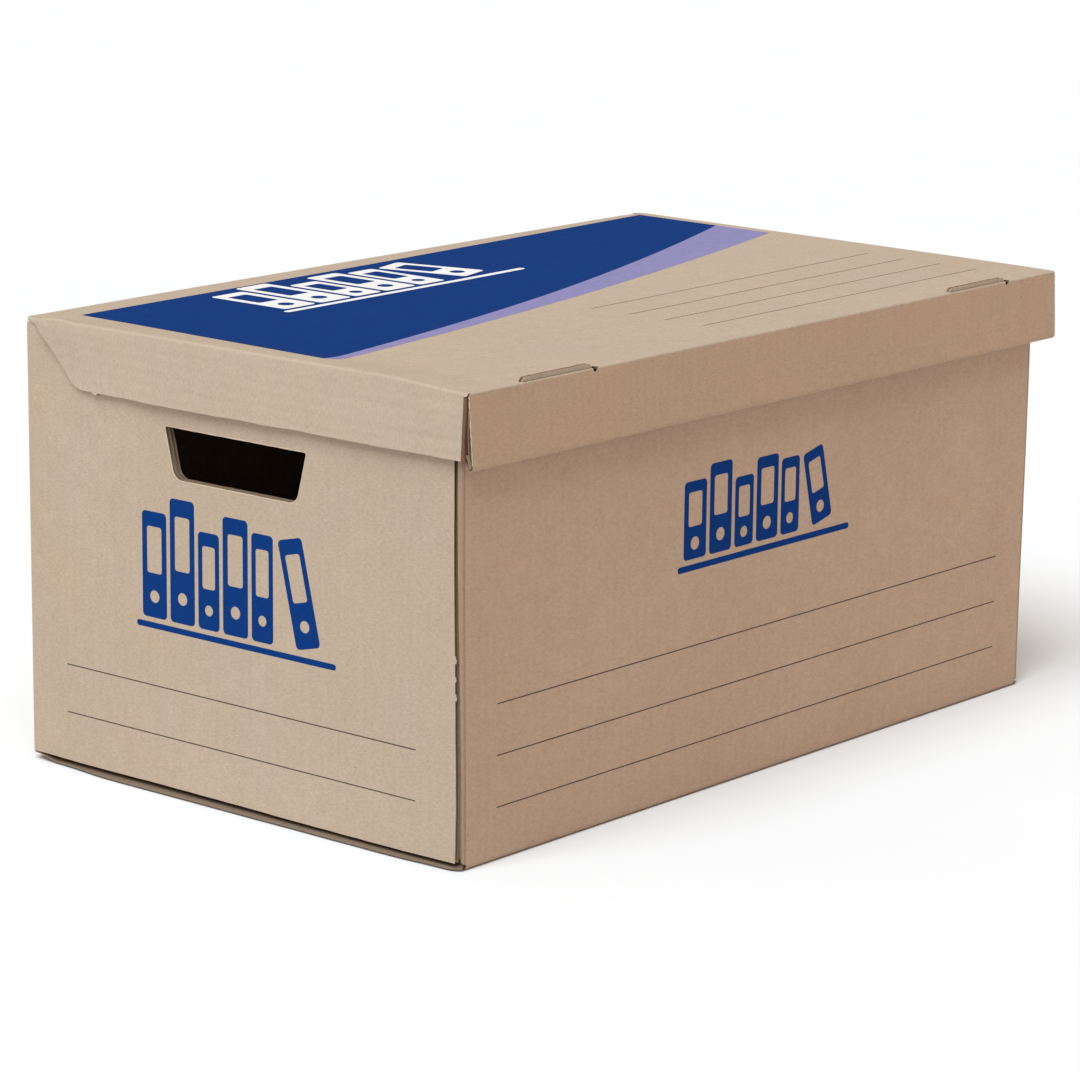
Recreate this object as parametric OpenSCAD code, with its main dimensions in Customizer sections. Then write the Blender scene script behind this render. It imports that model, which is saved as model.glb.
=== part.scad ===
// Flip-top archival storage box, folded from 3 mm corrugated kraft board.
// Millimetres. +Z is up, +X runs along the length, the long front face looks towards -Y.
// The origin is the centre of the base's underside. The lid is hinged along the top of the back.

/* [Body] */
// Outer length of the body
body_l = 520; // [460:5:580]
// Outer depth of the body, from front to back
body_d = 325; // [290:5:360]
// Height of the closed lid's underside above the ground
body_h = 253; // [235:1:280]
// Thickness of the corrugated board
board = 3; // [2.8:0.1:3.2]
// Height of the base flaps that stand up inside both ends
base_flap_h = 110; // [60:5:140]

/* [Hand holes] */
// Width of a hand hole along its top edge
hole_w = 105; // [90:1:120]
// Height of a hand hole
hole_h = 28.5; // [25:0.5:34]
// How far each lower corner of a hand hole is drawn in
hole_taper = 7; // [2:1:10]
// Height of a hand hole's top edge above the ground
hole_top = 208; // [170:1:210]

/* [Lid] */
// Outer length of the lid
lid_l = 537; // [532:1:540]
// How far the loosely fitting lid sits off centre, towards the right
lid_shift = 4; // [0:1:5]
// Height of the lid's roll-over front
lid_front_h = 41.5; // [39:0.5:46]
// Height of the lid's end flaps
lid_end_h = 36; // [32:0.5:38]
// How far the roll-over front leans out at its lower edge
lid_lean = 2.2; // [1.5:0.1:3]
// Length of the slots that the lock tabs stand in
slot_l = 60; // [40:1:70]
// Distance between the middles of the two slots
slot_pitch = 384; // [300:2:400]
// How far the lock tabs stand up above the lid
tab_rise = 2.5; // [1:0.5:4]

/* [Hidden] */
$fn = 48;

kraft = "#c3ad92";
kraft_shade = "#b59c80";

half_l = body_l / 2;
half_d = body_d / 2;
bend_in = 1;                        // inside radius of a folded crease
bend_out = bend_in + board;         // outside radius of a folded crease
clearance = 0.3;                    // between the body and everything that moves over it
wall_top = body_h - clearance;
end_bottom = 5.2;                   // lower edge of the outer end panels
inner_x = half_l - board;           // outer face of the inner end panels
flap_x = inner_x - board;           // outer face of the base flaps
nose_r = 2.5;                       // the crushed crease that bulges out under each end
nose_x = half_l - 1;
base_half_l = flap_x - 2;
inner_bottom = 11;
hinge_out = 5.5;                    // outside radius of the lid's hinge crease
hinge_in = hinge_out - board;
hinge_y = half_d - hinge_out;       // centre of the hinge crease's bend
hinge_z = body_h + board - hinge_out;
lid_half_l = lid_l / 2;
lid_top = body_h + board;
lid_plate_x = lid_half_l - bend_out;
lid_front_y = half_d + 7.5;         // front face of the lid at its top crease
lid_bend_z = lid_top - bend_out;
fold_r = (lid_front_y + lid_lean - half_d - clearance) / 2;
fold_y = half_d + clearance + fold_r;
fold_z = lid_top - lid_front_h + fold_r;
inner_flap_top = lid_bend_z - 2.5;
tab_top = inner_flap_top - 0.5;
tab_l = 70;                         // length of a corner tab behind the roll-over front
tab_in = half_d + clearance + board + 0.1;
flap_slope = 48;                    // slope of an end flap's relief cut beside the hinge
flap_fillet = 14;

function arc(cx, cy, r, a0, a1, n = 8) =
    [for (i = [0:n]) let (a = a0 + (a1 - a0) * i / n) [cx + r * cos(a), cy + r * sin(a)]];

// A profile drawn in (Y, Z), extruded along X from x0 to x1
module along_x(x0, x1) {
    translate([x0, 0, 0]) rotate([90, 0, 90]) linear_extrude(x1 - x0) children();
}

// A profile drawn in (X, Z), extruded along Y from y0 to y1
module along_y(y0, y1) {
    translate([0, y1, 0]) rotate([90, 0, 0]) linear_extrude(y1 - y0) children();
}

// A profile drawn in (X, Y), extruded along Z from z0 to z1
module along_z(z0, z1) {
    translate([0, 0, z0]) linear_extrude(z1 - z0) children();
}

// A rectangle between two corners
module plate(x0, y0, x1, y1) {
    translate([x0, y0]) square([x1 - x0, y1 - y0]);
}

// A quarter of a bent crease around (x, y), in the quadrant that sx and sy point to
module crease(x, y, sx, sy, r_out = bend_out, r_in = bend_in) {
    translate([x, y]) difference() {
        intersection() {
            circle(r_out);
            plate(min(0, sx * r_out), min(0, sy * r_out), max(0, sx * r_out), max(0, sy * r_out));
        }
        circle(r_in);
    }
}

module on_end(side) {
    mirror([side == "right" ? 1 : 0, 0, 0]) children();
}

module on_lid_end(side) {
    translate([lid_shift, 0, 0]) on_end(side) children();
}

// ---- Body ----

module base_panel() {
    color(kraft_shade) along_z(0, board)
        plate(-base_half_l, -half_d + bend_out, base_half_l, half_d - bend_out);
}

// A long wall with the crease that turns it into the base, standing towards -Y
module long_wall(x, top) {
    along_x(-x, x) plate(-half_d, bend_out, -half_d + board, top);
    along_x(-base_half_l, base_half_l) crease(-half_d + bend_out, bend_out, -1, -1);
}

module front_panel() {
    color(kraft) long_wall(inner_x - bend_out, wall_top);
}

module back_panel() {
    color(kraft) mirror([0, 1, 0]) long_wall(half_l - bend_out, hinge_z);
}

// The hand hole's outline in (Y, Z), drawn in all round by gap
module hole_outline(gap = 0) {
    foot_w = hole_w / 2 - hole_taper;
    slant = norm([hole_taper, hole_h]);
    r = 7;
    foot = foot_w - r * (slant - hole_taper) / hole_h;
    tilt = atan(hole_taper / hole_h);
    low = hole_top - hole_h + r;
    polygon(concat(
        arc(-foot, low, r - gap, 180 + tilt, 270),
        arc(foot, low, r - gap, 270, 360 - tilt),
        [[hole_w / 2 - gap, hole_top - gap], [-hole_w / 2 + gap, hole_top - gap]]
    ));
}

module outer_end_panel(side) {
    color(kraft) on_end(side) {
        along_x(-half_l, -inner_x) difference() {
            plate(-half_d + 2.5, end_bottom, half_d - bend_out, wall_top);
            hole_outline();
        }
        along_z(end_bottom, wall_top) crease(-half_l + bend_out, half_d - bend_out, -1, 1);
    }
}

module inner_end_panel(side) {
    color(kraft) on_end(side) {
        along_x(-inner_x, -flap_x) difference() {
            plate(-half_d + bend_out, inner_bottom, half_d - bend_out - clearance, wall_top);
            hole_outline();
        }
        along_z(end_bottom, wall_top) crease(-inner_x + bend_out, -half_d + bend_out, -1, -1);
    }
}

// The base runs on past the end walls in a crushed, bulging crease and turns up inside them
module base_flap(side) {
    nose = -nose_x + nose_r;
    profile = concat(
        [[-base_half_l, 0]],
        arc(nose, nose_r, nose_r, 270, 90),
        [[-flap_x, 8], [-flap_x, base_flap_h], [-flap_x + board, base_flap_h], [-flap_x + board, 5.5],
         [-base_half_l, board]]
    );
    foot = half_d - bend_out - 1;
    chamfer = 10;
    color(kraft_shade) on_end(side) intersection() {
        along_y(-foot, foot) polygon(profile);
        along_z(-1, base_flap_h + 1) polygon([
            [-base_half_l + 9, -foot], [-base_half_l, -foot], [-half_l, -foot + chamfer],
            [-half_l, foot - chamfer * 2], [-base_half_l, foot], [-base_half_l + 9, foot]
        ]);
    }
}

// The piece pushed out of the inner end panel's hand hole: hinged on its top edge, folded up flat inside
module handle_flap(side) {
    gap = 1.1;
    color(kraft_shade) on_end(side)
        along_x(-flap_x + clearance, -flap_x + clearance + board)
            translate([0, 2 * hole_top]) mirror([0, 1]) hole_outline(gap);
}

// ---- Lid ----

module slots() {
    for (x = [-slot_pitch / 2, slot_pitch / 2])
        translate([x - slot_l / 2, -lid_front_y + 0.6, lid_bend_z - 1]) cube([slot_l, 5, bend_out + 2]);
}

module lid_top_panel() {
    color(kraft) difference() {
        translate([lid_shift, 0, 0]) {
            along_z(body_h, lid_top) plate(-lid_plate_x, -lid_front_y + bend_out, lid_plate_x, hinge_y);
            along_x(-lid_plate_x, lid_plate_x) crease(-lid_front_y + bend_out, lid_bend_z, -1, 1);
        }
        slots();
    }
}

module lid_hinge_crease() {
    color(kraft) along_x(-half_l + 6, half_l - 6) crease(hinge_y, hinge_z, 1, 1, hinge_out, hinge_in);
}

// An end flap with the crease it hangs from, and the sloping relief cut beside the hinge
module lid_end_flap(side) {
    low = lid_top - lid_end_h;
    front = -tab_in - board + bend_out;
    top_y = half_d - 13;
    turn_y = top_y - (lid_end_h - bend_out) / tan(flap_slope);
    color(kraft) on_lid_end(side) {
        along_x(-lid_half_l, -lid_half_l + board) polygon(concat(
            [[front, low]],
            arc(turn_y - flap_fillet * tan(flap_slope / 2), low + flap_fillet, flap_fillet, 270, 270 + flap_slope),
            [[top_y, lid_bend_z], [front, lid_bend_z]]
        ));
        along_y(-lid_front_y + bend_out, top_y) crease(-lid_plate_x, lid_bend_z, -1, 1);
    }
}

// The outer flap's inner face, which leans out towards its lower edge
function flap_inner_y(z) = -lid_front_y + board - lid_lean * (lid_bend_z - z) / (lid_bend_z - fold_z);

// A corner tab turns off the end flap and is pressed between the two layers of the roll-over front
module lid_corner_tab(side) {
    low = lid_top - lid_end_h + 1;
    y_out = -tab_in - board;
    slack = 0.1;
    color(kraft_shade) on_lid_end(side) intersection() {
        along_z(low, tab_top) {
            crease(-lid_plate_x, y_out + bend_out, -1, -1);
            plate(-lid_plate_x, y_out, -lid_plate_x + tab_l, -tab_in);
        }
        along_x(-lid_half_l - 1, -lid_plate_x + tab_l + 1) polygon([
            [flap_inner_y(low) + slack, low], [flap_inner_y(tab_top) + slack, tab_top],
            [-half_d, tab_top], [-half_d, low]
        ]);
    }
}

module lid_front_outer_flap() {
    color(kraft) translate([lid_shift, 0, 0]) along_x(-lid_half_l + 1, lid_half_l - 1) polygon([
        [flap_inner_y(lid_bend_z), lid_bend_z], [flap_inner_y(fold_z), fold_z],
        [flap_inner_y(fold_z) - board, fold_z], [flap_inner_y(lid_bend_z) - board, lid_bend_z]
    ]);
}

// The U-turn at the bottom of the roll-over front
module lid_front_fold() {
    color(kraft) translate([lid_shift, 0, 0]) along_x(-lid_half_l + 1, lid_half_l - 1) {
        crease(-fold_y, fold_z, -1, -1, fold_r, fold_r - board);
        crease(-fold_y, fold_z, 1, -1, fold_r, fold_r - board);
    }
}

module lid_front_inner_flap() {
    color(kraft_shade) translate([lid_shift, 0, 0])
        along_x(-lid_half_l + 6.5, lid_half_l - 6.5)
            plate(-half_d - clearance - board, fold_z, -half_d - clearance, inner_flap_top);
}

// A lock tab on the inner flap's top edge leans forward and stands up through its slot in the lid
module lock_tab(x) {
    front = -lid_front_y + 0.8;
    inner = -half_d - clearance;
    left = x - slot_l / 2 + 0.5;
    right = x + slot_l / 2 - 3.5;
    top = lid_top + tab_rise;
    corner = tab_rise + 1;
    color(kraft_shade) intersection() {
        along_x(left, right) polygon([
            [inner, inner_flap_top], [inner - board, inner_flap_top],
            [flap_inner_y(lid_bend_z) + 0.1, lid_bend_z], [front, body_h + 0.6], [front, top],
            [front + board, top], [front + board, body_h + 1]
        ]);
        along_y(-lid_front_y - 1, -half_d + 1) polygon(concat(
            [[left, inner_flap_top]], arc(left + corner, top - corner, corner, 180, 90),
            arc(right - corner, top - corner, corner, 90, 0), [[right, inner_flap_top]]
        ));
    }
}

base_panel();
front_panel();
back_panel();
outer_end_panel("left");  // left_outer_end_panel
outer_end_panel("right");  // right_outer_end_panel
inner_end_panel("left");  // left_inner_end_panel
inner_end_panel("right");  // right_inner_end_panel
base_flap("left");  // left_base_flap
base_flap("right");  // right_base_flap
handle_flap("left");  // left_handle_flap
handle_flap("right");  // right_handle_flap
lid_top_panel();
lid_hinge_crease();
lid_end_flap("left");  // lid_left_end_flap
lid_end_flap("right");  // lid_right_end_flap
lid_corner_tab("left");  // lid_left_corner_tab
lid_corner_tab("right");  // lid_right_corner_tab
lid_front_outer_flap();
lid_front_fold();
lid_front_inner_flap();
lock_tab(-slot_pitch / 2);  // lid_left_lock_tab
lock_tab(slot_pitch / 2);  // lid_right_lock_tab
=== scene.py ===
import math
import random

import bmesh
import bpy
import numpy as np
from mathutils import Matrix, Vector
from mathutils.geometry import delaunay_2d_cdt


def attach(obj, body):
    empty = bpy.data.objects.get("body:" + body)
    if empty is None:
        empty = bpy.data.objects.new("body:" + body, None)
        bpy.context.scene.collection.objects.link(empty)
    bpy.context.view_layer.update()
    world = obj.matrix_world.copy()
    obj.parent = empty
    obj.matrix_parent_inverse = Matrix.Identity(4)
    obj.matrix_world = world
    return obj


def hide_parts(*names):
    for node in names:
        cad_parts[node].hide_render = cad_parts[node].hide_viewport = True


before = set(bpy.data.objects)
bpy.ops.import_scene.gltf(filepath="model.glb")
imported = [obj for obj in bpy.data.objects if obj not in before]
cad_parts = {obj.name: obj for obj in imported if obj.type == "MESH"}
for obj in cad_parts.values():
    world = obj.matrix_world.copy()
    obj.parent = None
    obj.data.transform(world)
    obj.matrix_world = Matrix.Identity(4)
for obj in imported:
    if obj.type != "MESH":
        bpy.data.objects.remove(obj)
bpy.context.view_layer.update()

# Lengths are millimetres until a mesh is made. +X is the length, -Y the long front face, Z is up.
MM = 0.001
BOARD = 2.9          # thickness of the corrugated board
LINER = 0.38         # thickness of each flat liner
MEDIUM = 0.26        # thickness of the wavy medium between them
PITCH = 6.5          # length of one flute
GROOVE = 5.0         # how deep a cut edge shows the hollow between the liners
OUTSIDE, INSIDE, CUT = 0, 1, 2               # the kinds of surface, in the order of a board's materials
SHARP = 35           # a mesh stays crisp where it turns more than this many degrees
SHORT_MITRE = 0.3    # keeps the points of very sharp corners short


# ---- Flat outlines ----

def rectangle(u0, v0, u1, v1):
    return [(u0, v0), (u1, v0), (u1, v1), (u0, v1)]


def arc(u, v, r, a0, a1, n=6):
    """Points round an arc from the angle a0 to a1, in degrees."""
    angles = [math.radians(a0 + (a1 - a0) * i / n) for i in range(n + 1)]
    return [(u + r * math.cos(a), v + r * math.sin(a)) for a in angles]


def capsule(u0, v0, u1, v1, r):
    """A rectangle with rounded corners."""
    return (arc(u0 + r, v0 + r, r, 180, 270) + arc(u1 - r, v0 + r, r, 270, 360)
            + arc(u1 - r, v1 - r, r, 0, 90) + arc(u0 + r, v1 - r, r, 90, 180))


def area(loop):
    return sum(a[0] * b[1] - b[0] * a[1] for a, b in zip(loop, loop[1:] + loop[:1])) / 2


def grown(loop, d):
    """The loop moved outwards by d on every side, or inwards where d is negative."""
    way = 1 if area(loop) > 0 else -1
    out = []
    for i, (u, v) in enumerate(loop):
        pu, pv = loop[i - 1]
        nu, nv = loop[(i + 1) % len(loop)]
        a = Vector((v - pv, pu - u)).normalized() * way
        b = Vector((nv - v, u - nu)).normalized() * way
        m = (a + b) * (d / max(1 + a.dot(b), SHORT_MITRE))
        out.append((u + m.x, v + m.y))
    return out


def on_line(a, b, name, at):
    """Whether the edge from a to b lies on the line u = at or v = at."""
    axis = "uv".index(name)
    return max(abs(a[axis] - at), abs(b[axis] - at)) < 0.01


def ragged(loop, seed, keep=(), step=7.0, amount=0.09):
    """A die-cut edge is never quite straight. Edges on a line in keep, such as ("u", 3), stay straight."""
    rnd = random.Random(seed)
    out = []
    for a, b in zip(loop, loop[1:] + loop[:1]):
        out.append(a)
        length = math.dist(a, b)
        if length < 2 * step or any(on_line(a, b, *line) for line in keep):
            continue
        n = int(length / step)
        side = ((a[1] - b[1]) / length, (b[0] - a[0]) / length)
        for i in range(1, n):
            t = i / n
            d = rnd.uniform(-amount, amount)
            out.append((a[0] + (b[0] - a[0]) * t + side[0] * d, a[1] + (b[1] - a[1]) * t + side[1] * d))
    return out


def within(points, loop):
    """Which of the points lie inside the loop."""
    u, v = points.T
    hit = np.zeros(len(points), bool)
    for (u1, v1), (u2, v2) in zip(loop, loop[1:] + loop[:1]):
        if v1 != v2:
            hit ^= ((v1 > v) != (v2 > v)) & (u < (u2 - u1) * (v - v1) / (v2 - v1) + u1)
    return hit


def region(points, loop, holes=()):
    """Which of the points lie inside the loop and outside its holes."""
    inside = within(points, loop)
    for hole in holes:
        inside &= ~within(points, hole)
    return inside


def triangulate(loops, us, vs):
    """Triangles over all the loops, with edges along each loop and along the lines at us and vs."""
    points, edges = [], []
    for loop in loops:
        first = len(points)
        points += loop
        edges += [(first + i, first + (i + 1) % len(loop)) for i in range(len(loop))]
    flat = np.array(points)
    (u0, v0), (u1, v1) = flat.min(0) - 1, flat.max(0) + 1
    lines = [((u, v0), (u, v1)) for u in us if u0 < u < u1] + [((u0, v), (u1, v)) for v in vs if v0 < v < v1]
    for a, b in lines:
        edges.append((len(points), len(points) + 1))
        points += [a, b]
    found = delaunay_2d_cdt([Vector(p) for p in points], edges, [], 0, 1e-5, False)
    return np.array([tuple(p) for p in found[0]]), np.array(found[2])


def open_edges(triangles):
    """The triangles' edges that belong to one triangle only, each in its triangle's direction."""
    edges = dict.fromkeys(e for a, b, c in triangles for e in ((a, b), (b, c), (c, a)))
    return dict.fromkeys(e for e in edges if e[::-1] not in edges)


def steps(a, b, size):
    """Evenly spaced numbers from a to b, about size apart."""
    n = max(1, round((b - a) / size))
    return [a + (b - a) * i / n for i in range(n + 1)]


# ---- Bent boards ----

def bend(radius, turn):
    """A leg of a path round a crease: the length of its outer face, and its turn in degrees."""
    return radius * math.radians(abs(turn)), turn


def along(x, y, a, k, d):
    """Where a walk of length d leads that starts heading along a and turns by k for each millimetre."""
    if not k:
        return x + d * math.cos(a), y + d * math.sin(a), a
    x += (math.sin(a + k * d) - math.sin(a)) / k
    y -= (math.cos(a + k * d) - math.cos(a)) / k
    return x, y, a + k * d


def path(x, y, heading, *legs):
    """Follows a board's outer face in a plane. Each leg is (length, turn in degrees), a left turn being
    positive. Returns at(s, w), the point s along the face and w deep to its left, and the places s that
    need an edge."""
    spans, marks, s = [], [], 0.0
    angle = math.radians(heading)
    for length, turn in legs:
        k = math.radians(turn) / length
        spans.append((s, x, y, angle, k))
        marks += steps(s, s + length, length / max(2, abs(turn) / 11)) if k else [s, s + length]
        x, y, angle = along(x, y, angle, k, length)
        s += length

    def at(s, w):
        start, *leg = [p for p in spans if p[0] <= s + 1e-9][-1] if s >= 0 else spans[0]
        x, y, a = along(*leg, s - start)
        return x - math.sin(a) * w, y + math.cos(a) * w

    return at, marks


def smooth(t):
    """Eases from 0 to 1 as t does."""
    t = min(max(t, 0.0), 1.0)
    return t * t * (3 - 2 * t)


class Shape:
    """Vertices and faces as they are collected, each face with the kind of surface it is."""

    def __init__(self):
        self.verts, self.faces, self.kinds = [], [], []

    def add(self, verts, faces, kind):
        first = len(self.verts)
        self.verts += verts
        self.faces += [tuple(first + i for i in f) for f in faces]
        self.kinds += [kind] * len(faces) if isinstance(kind, int) else kind

    def mesh(self, name):
        mesh = bpy.data.meshes.new(name)
        mesh.from_pydata([tuple(c * MM for c in v) for v in self.verts], [], self.faces)
        mesh.polygons.foreach_set("material_index", self.kinds)
        bm = bmesh.new()
        bm.from_mesh(mesh)
        bmesh.ops.recalc_face_normals(bm, faces=bm.faces)
        bm.to_mesh(mesh)
        bm.free()
        mesh.polygons.foreach_set("use_smooth", [True] * len(mesh.polygons))
        mesh.set_sharp_from_angle(angle=math.radians(SHARP))
        mesh.update()
        return mesh


def shell(points, triangles, top, bottom, place):
    """The points and faces of a closed sheet between the depths top(u, v) and bottom(u, v)."""
    used = sorted(set(int(i) for t in triangles for i in t))
    where = {i: n for n, i in enumerate(used)}
    n = len(used)
    uv = [points[i] for i in used]
    verts = [place(u, v, top(u, v)) for u, v in uv] + [place(u, v, bottom(u, v)) for u, v in uv]
    tris = [tuple(where[int(i)] for i in t) for t in triangles]
    sides = [(b, a, a + n, b + n) for a, b in open_edges(tris)]
    return verts, tris + [(c + n, b + n, a + n) for a, b, c in tris] + sides


def tube(rows, kind=OUTSIDE, closed=False):
    """A closed skin through rings of points, its ends capped unless it runs round on itself."""
    shape, n, m = Shape(), len(rows[0]), len(rows)
    faces = [(i * n + j, i * n + (j + 1) % n, (i + 1) % m * n + (j + 1) % n, (i + 1) % m * n + j)
             for i in range(m if closed else m - 1) for j in range(n)]
    if not closed:
        faces += [tuple(range(n))[::-1], tuple((m - 1) * n + j for j in range(n))]
    shape.add([p for row in rows for p in row], faces, kind)
    return shape


def split_board(outline, holes, core, gaps, us, vs):
    """Triangles over a board: all of them, and those of the groove that shows round its cut edges."""
    points, triangles = triangulate([outline, core, *holes, *gaps], us, vs)
    middle = points[triangles].mean(1)
    solid = region(middle, outline, holes)
    return points, triangles[solid], triangles[solid & ~region(middle, core, gaps)]


def board_shape(outline, place, holes=(), core=None, us=(), vs=(), skins=None, phase=0.0):
    """Corrugated board: two liners with the wavy medium between them. The flutes run along v, so the wave
    shows where the board is cut along u. Away from its cut edges the hollow is closed off."""
    skins = skins or (lambda u, v: (0.0, BOARD))
    core = grown(core or outline, -GROOVE)
    gaps = [grown(h, GROOVE) for h in holes]
    points, skin, rim = split_board(outline, holes, core, gaps, us, vs)
    skin, rim = ([tuple(map(int, t)) for t in tris] for tris in (skin, rim))

    # the outer and inner faces, and under them the two walls of the groove
    verts, layers = [], []
    for tris, side, inset in ((skin, 0, 0.0), (skin, 1, 0.0), (rim, 0, LINER), (rim, 1, -LINER)):
        used = sorted({i for t in tris for i in t})
        layers.append({i: len(verts) + n for n, i in enumerate(used)})
        verts += [place(*points[i], skins(*points[i])[side] + inset) for i in used]
    a, b, c, d = layers
    faces = [tuple(a[i] for i in t) for t in skin] + [tuple(b[i] for i in t[::-1]) for t in skin]
    cut = [tuple(c[i] for i in t[::-1]) for t in rim] + [tuple(d[i] for i in t) for t in rim]
    outer, around = open_edges(skin), open_edges(rim)
    for i, j in outer:
        if (i, j) in around:
            cut += [(a[j], a[i], c[i], c[j]), (b[i], b[j], d[j], d[i])]
        else:
            cut.append((a[j], a[i], b[i], b[j]))
    cut += [(c[j], c[i], d[i], d[j]) for i, j in around if (i, j) not in outer]
    shape = Shape()
    shape.add(verts, faces + cut, [OUTSIDE] * len(skin) + [INSIDE] * len(skin) + [CUT] * len(cut))
    shape.add(*medium(outline, place, holes, core, gaps, vs, skins, phase), CUT)
    return shape


def medium(outline, place, holes, core, gaps, vs, skins, phase):
    """The wavy paper inside the groove, a hair back from the liners' cut edges."""
    us = steps(min(u for u, v in outline), max(u for u, v in outline), PITCH / 8)
    back = [grown(h, 0.2) for h in holes]
    points, _, rim = split_board(grown(outline, -0.2), back, grown(core, -0.3), gaps, us, vs)

    def wave(u, v, side):
        top, bottom = skins(u, v)
        room = max((bottom - top) / 2 - LINER - MEDIUM / 2, 0.02)
        height = room * math.sin(2 * math.pi * (u + phase) / PITCH)
        return (top + bottom) / 2 + height + side * MEDIUM / 2

    return shell(points, rim, lambda u, v: wave(u, v, -1), lambda u, v: wave(u, v, 1), place)


def pinched(axis, start, end, least, before=4.0, after=4.0):
    """Board crushed to the thickness least along a crease between start and end, and recovering beside it."""
    def skins(u, v):
        at = (u, v)[axis]
        away = smooth((start - at) / before) + smooth((at - end) / after)
        return 0.0, least + (BOARD - least) * away
    return skins


def mirrored(place):
    """The same place on the right-hand end."""
    def other(u, v, w):
        x, y, z = place(u, v, w)
        return -x, y, z
    return other


def for_side(side, shape, shift=0.0):
    """A shape made for the left-hand end, turned over for the right-hand one, and moved along X."""
    way = 1 if side == "left" else -1
    other = Shape()
    other.add([(way * x + shift, y, z) for x, y, z in shape.verts], [f[::way] for f in shape.faces],
              shape.kinds)
    return other


def new_object(name, data):
    """A new object of the scene."""
    ob = bpy.data.objects.new(name, data)
    bpy.context.scene.collection.objects.link(ob)
    return ob


def add_piece(name, shape, materials, nodes=(), body="box", slot="kraft_outside"):
    """Makes the piece, which rides on its body and stands for the CAD nodes."""
    ob = new_object(name, shape.mesh(name))
    for m in materials:
        ob.data.materials.append(m)
    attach(ob, body)
    if nodes:
        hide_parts(*nodes)


# ---- Materials ----

class Nodes:
    """A short way to write a material's nodes."""

    def __init__(self, name):
        self.material = bpy.data.materials.new(name)
        self.material.use_nodes = True
        self.tree = self.material.node_tree
        self.shader = self.tree.nodes["Principled BSDF"]
        self.place = self.tree.nodes.new("ShaderNodeTexCoord").outputs["Object"]

    def put(self, socket, value):
        if isinstance(value, bpy.types.NodeSocket):
            self.tree.links.new(value, socket)
        else:
            socket.default_value = value

    def new(self, kind, inputs, **settings):
        """Adds a node, sets or links its inputs by name or number, and returns its outputs."""
        node = self.tree.nodes.new(kind)
        for key, value in settings.items():
            setattr(node, key, value)
        for key, value in inputs.items():
            self.put(node.inputs[key], value)
        return node.outputs

    def stretched(self, scale):
        return self.new("ShaderNodeMapping", {"Vector": self.place, "Scale": scale})["Vector"]

    def noise(self, scale, detail, roughness=0.55, vector=None):
        inputs = {"Vector": vector or self.place, "Scale": scale, "Detail": detail, "Roughness": roughness}
        return self.new("ShaderNodeTexNoise", inputs)["Fac"]

    def math(self, op, a, b=0.0):
        return self.new("ShaderNodeMath", {0: a, 1: b}, operation=op)[0]

    def ranged(self, *values):
        """From (value, a0, a1, b0, b1), the value carried over from a0 to a1 to b0 to b1."""
        return self.new("ShaderNodeMapRange", dict(enumerate(values)))[0]

    def product(self, *ranges):
        """The product of some patterns, each ranged."""
        total = 1.0
        for values in ranges:
            total = self.math("MULTIPLY", total, self.ranged(*values))
        return total

    def mix(self, factor, a, b, blend="MIX"):
        inputs = {0: factor, 6: a, 7: b}
        return self.new("ShaderNodeMix", inputs, data_type="RGBA", blend_type=blend)[2]

    def scaled(self, colour, amount):
        """The colour made lighter or darker by a number that changes over the surface."""
        inputs = {0: colour[:3] if isinstance(colour, tuple) else colour, "Scale": amount}
        return self.new("ShaderNodeVectorMath", inputs, operation="SCALE")[0]

    def bump(self, height, distance, strength=1.0, after=None):
        inputs = {"Height": height, "Distance": distance, "Strength": strength}
        if after:
            inputs["Normal"] = after
        return self.new("ShaderNodeBump", inputs)["Normal"]

    def surface(self, colour, roughness, specular, normal=None):
        """Sets the shader's own sockets."""
        self.put(self.shader.inputs["Base Color"], colour)
        self.put(self.shader.inputs["Roughness"], roughness)
        self.put(self.shader.inputs["Specular IOR Level"], specular)
        if normal:
            self.put(self.shader.inputs["Normal"], normal)
        return self.material


def washboard(nodes, wave_axis):
    """The liner sinks a hair between the flutes, unevenly."""
    across = nodes.new("ShaderNodeSeparateXYZ", {0: nodes.place})["xyz".index(wave_axis)]
    turns = nodes.math("MULTIPLY", across, 2 * math.pi / (PITCH * MM))
    wobble = nodes.math("MULTIPLY", nodes.noise(14, 2), 5.0)
    return nodes.math("SINE", nodes.math("ADD", turns, wobble))


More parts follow.
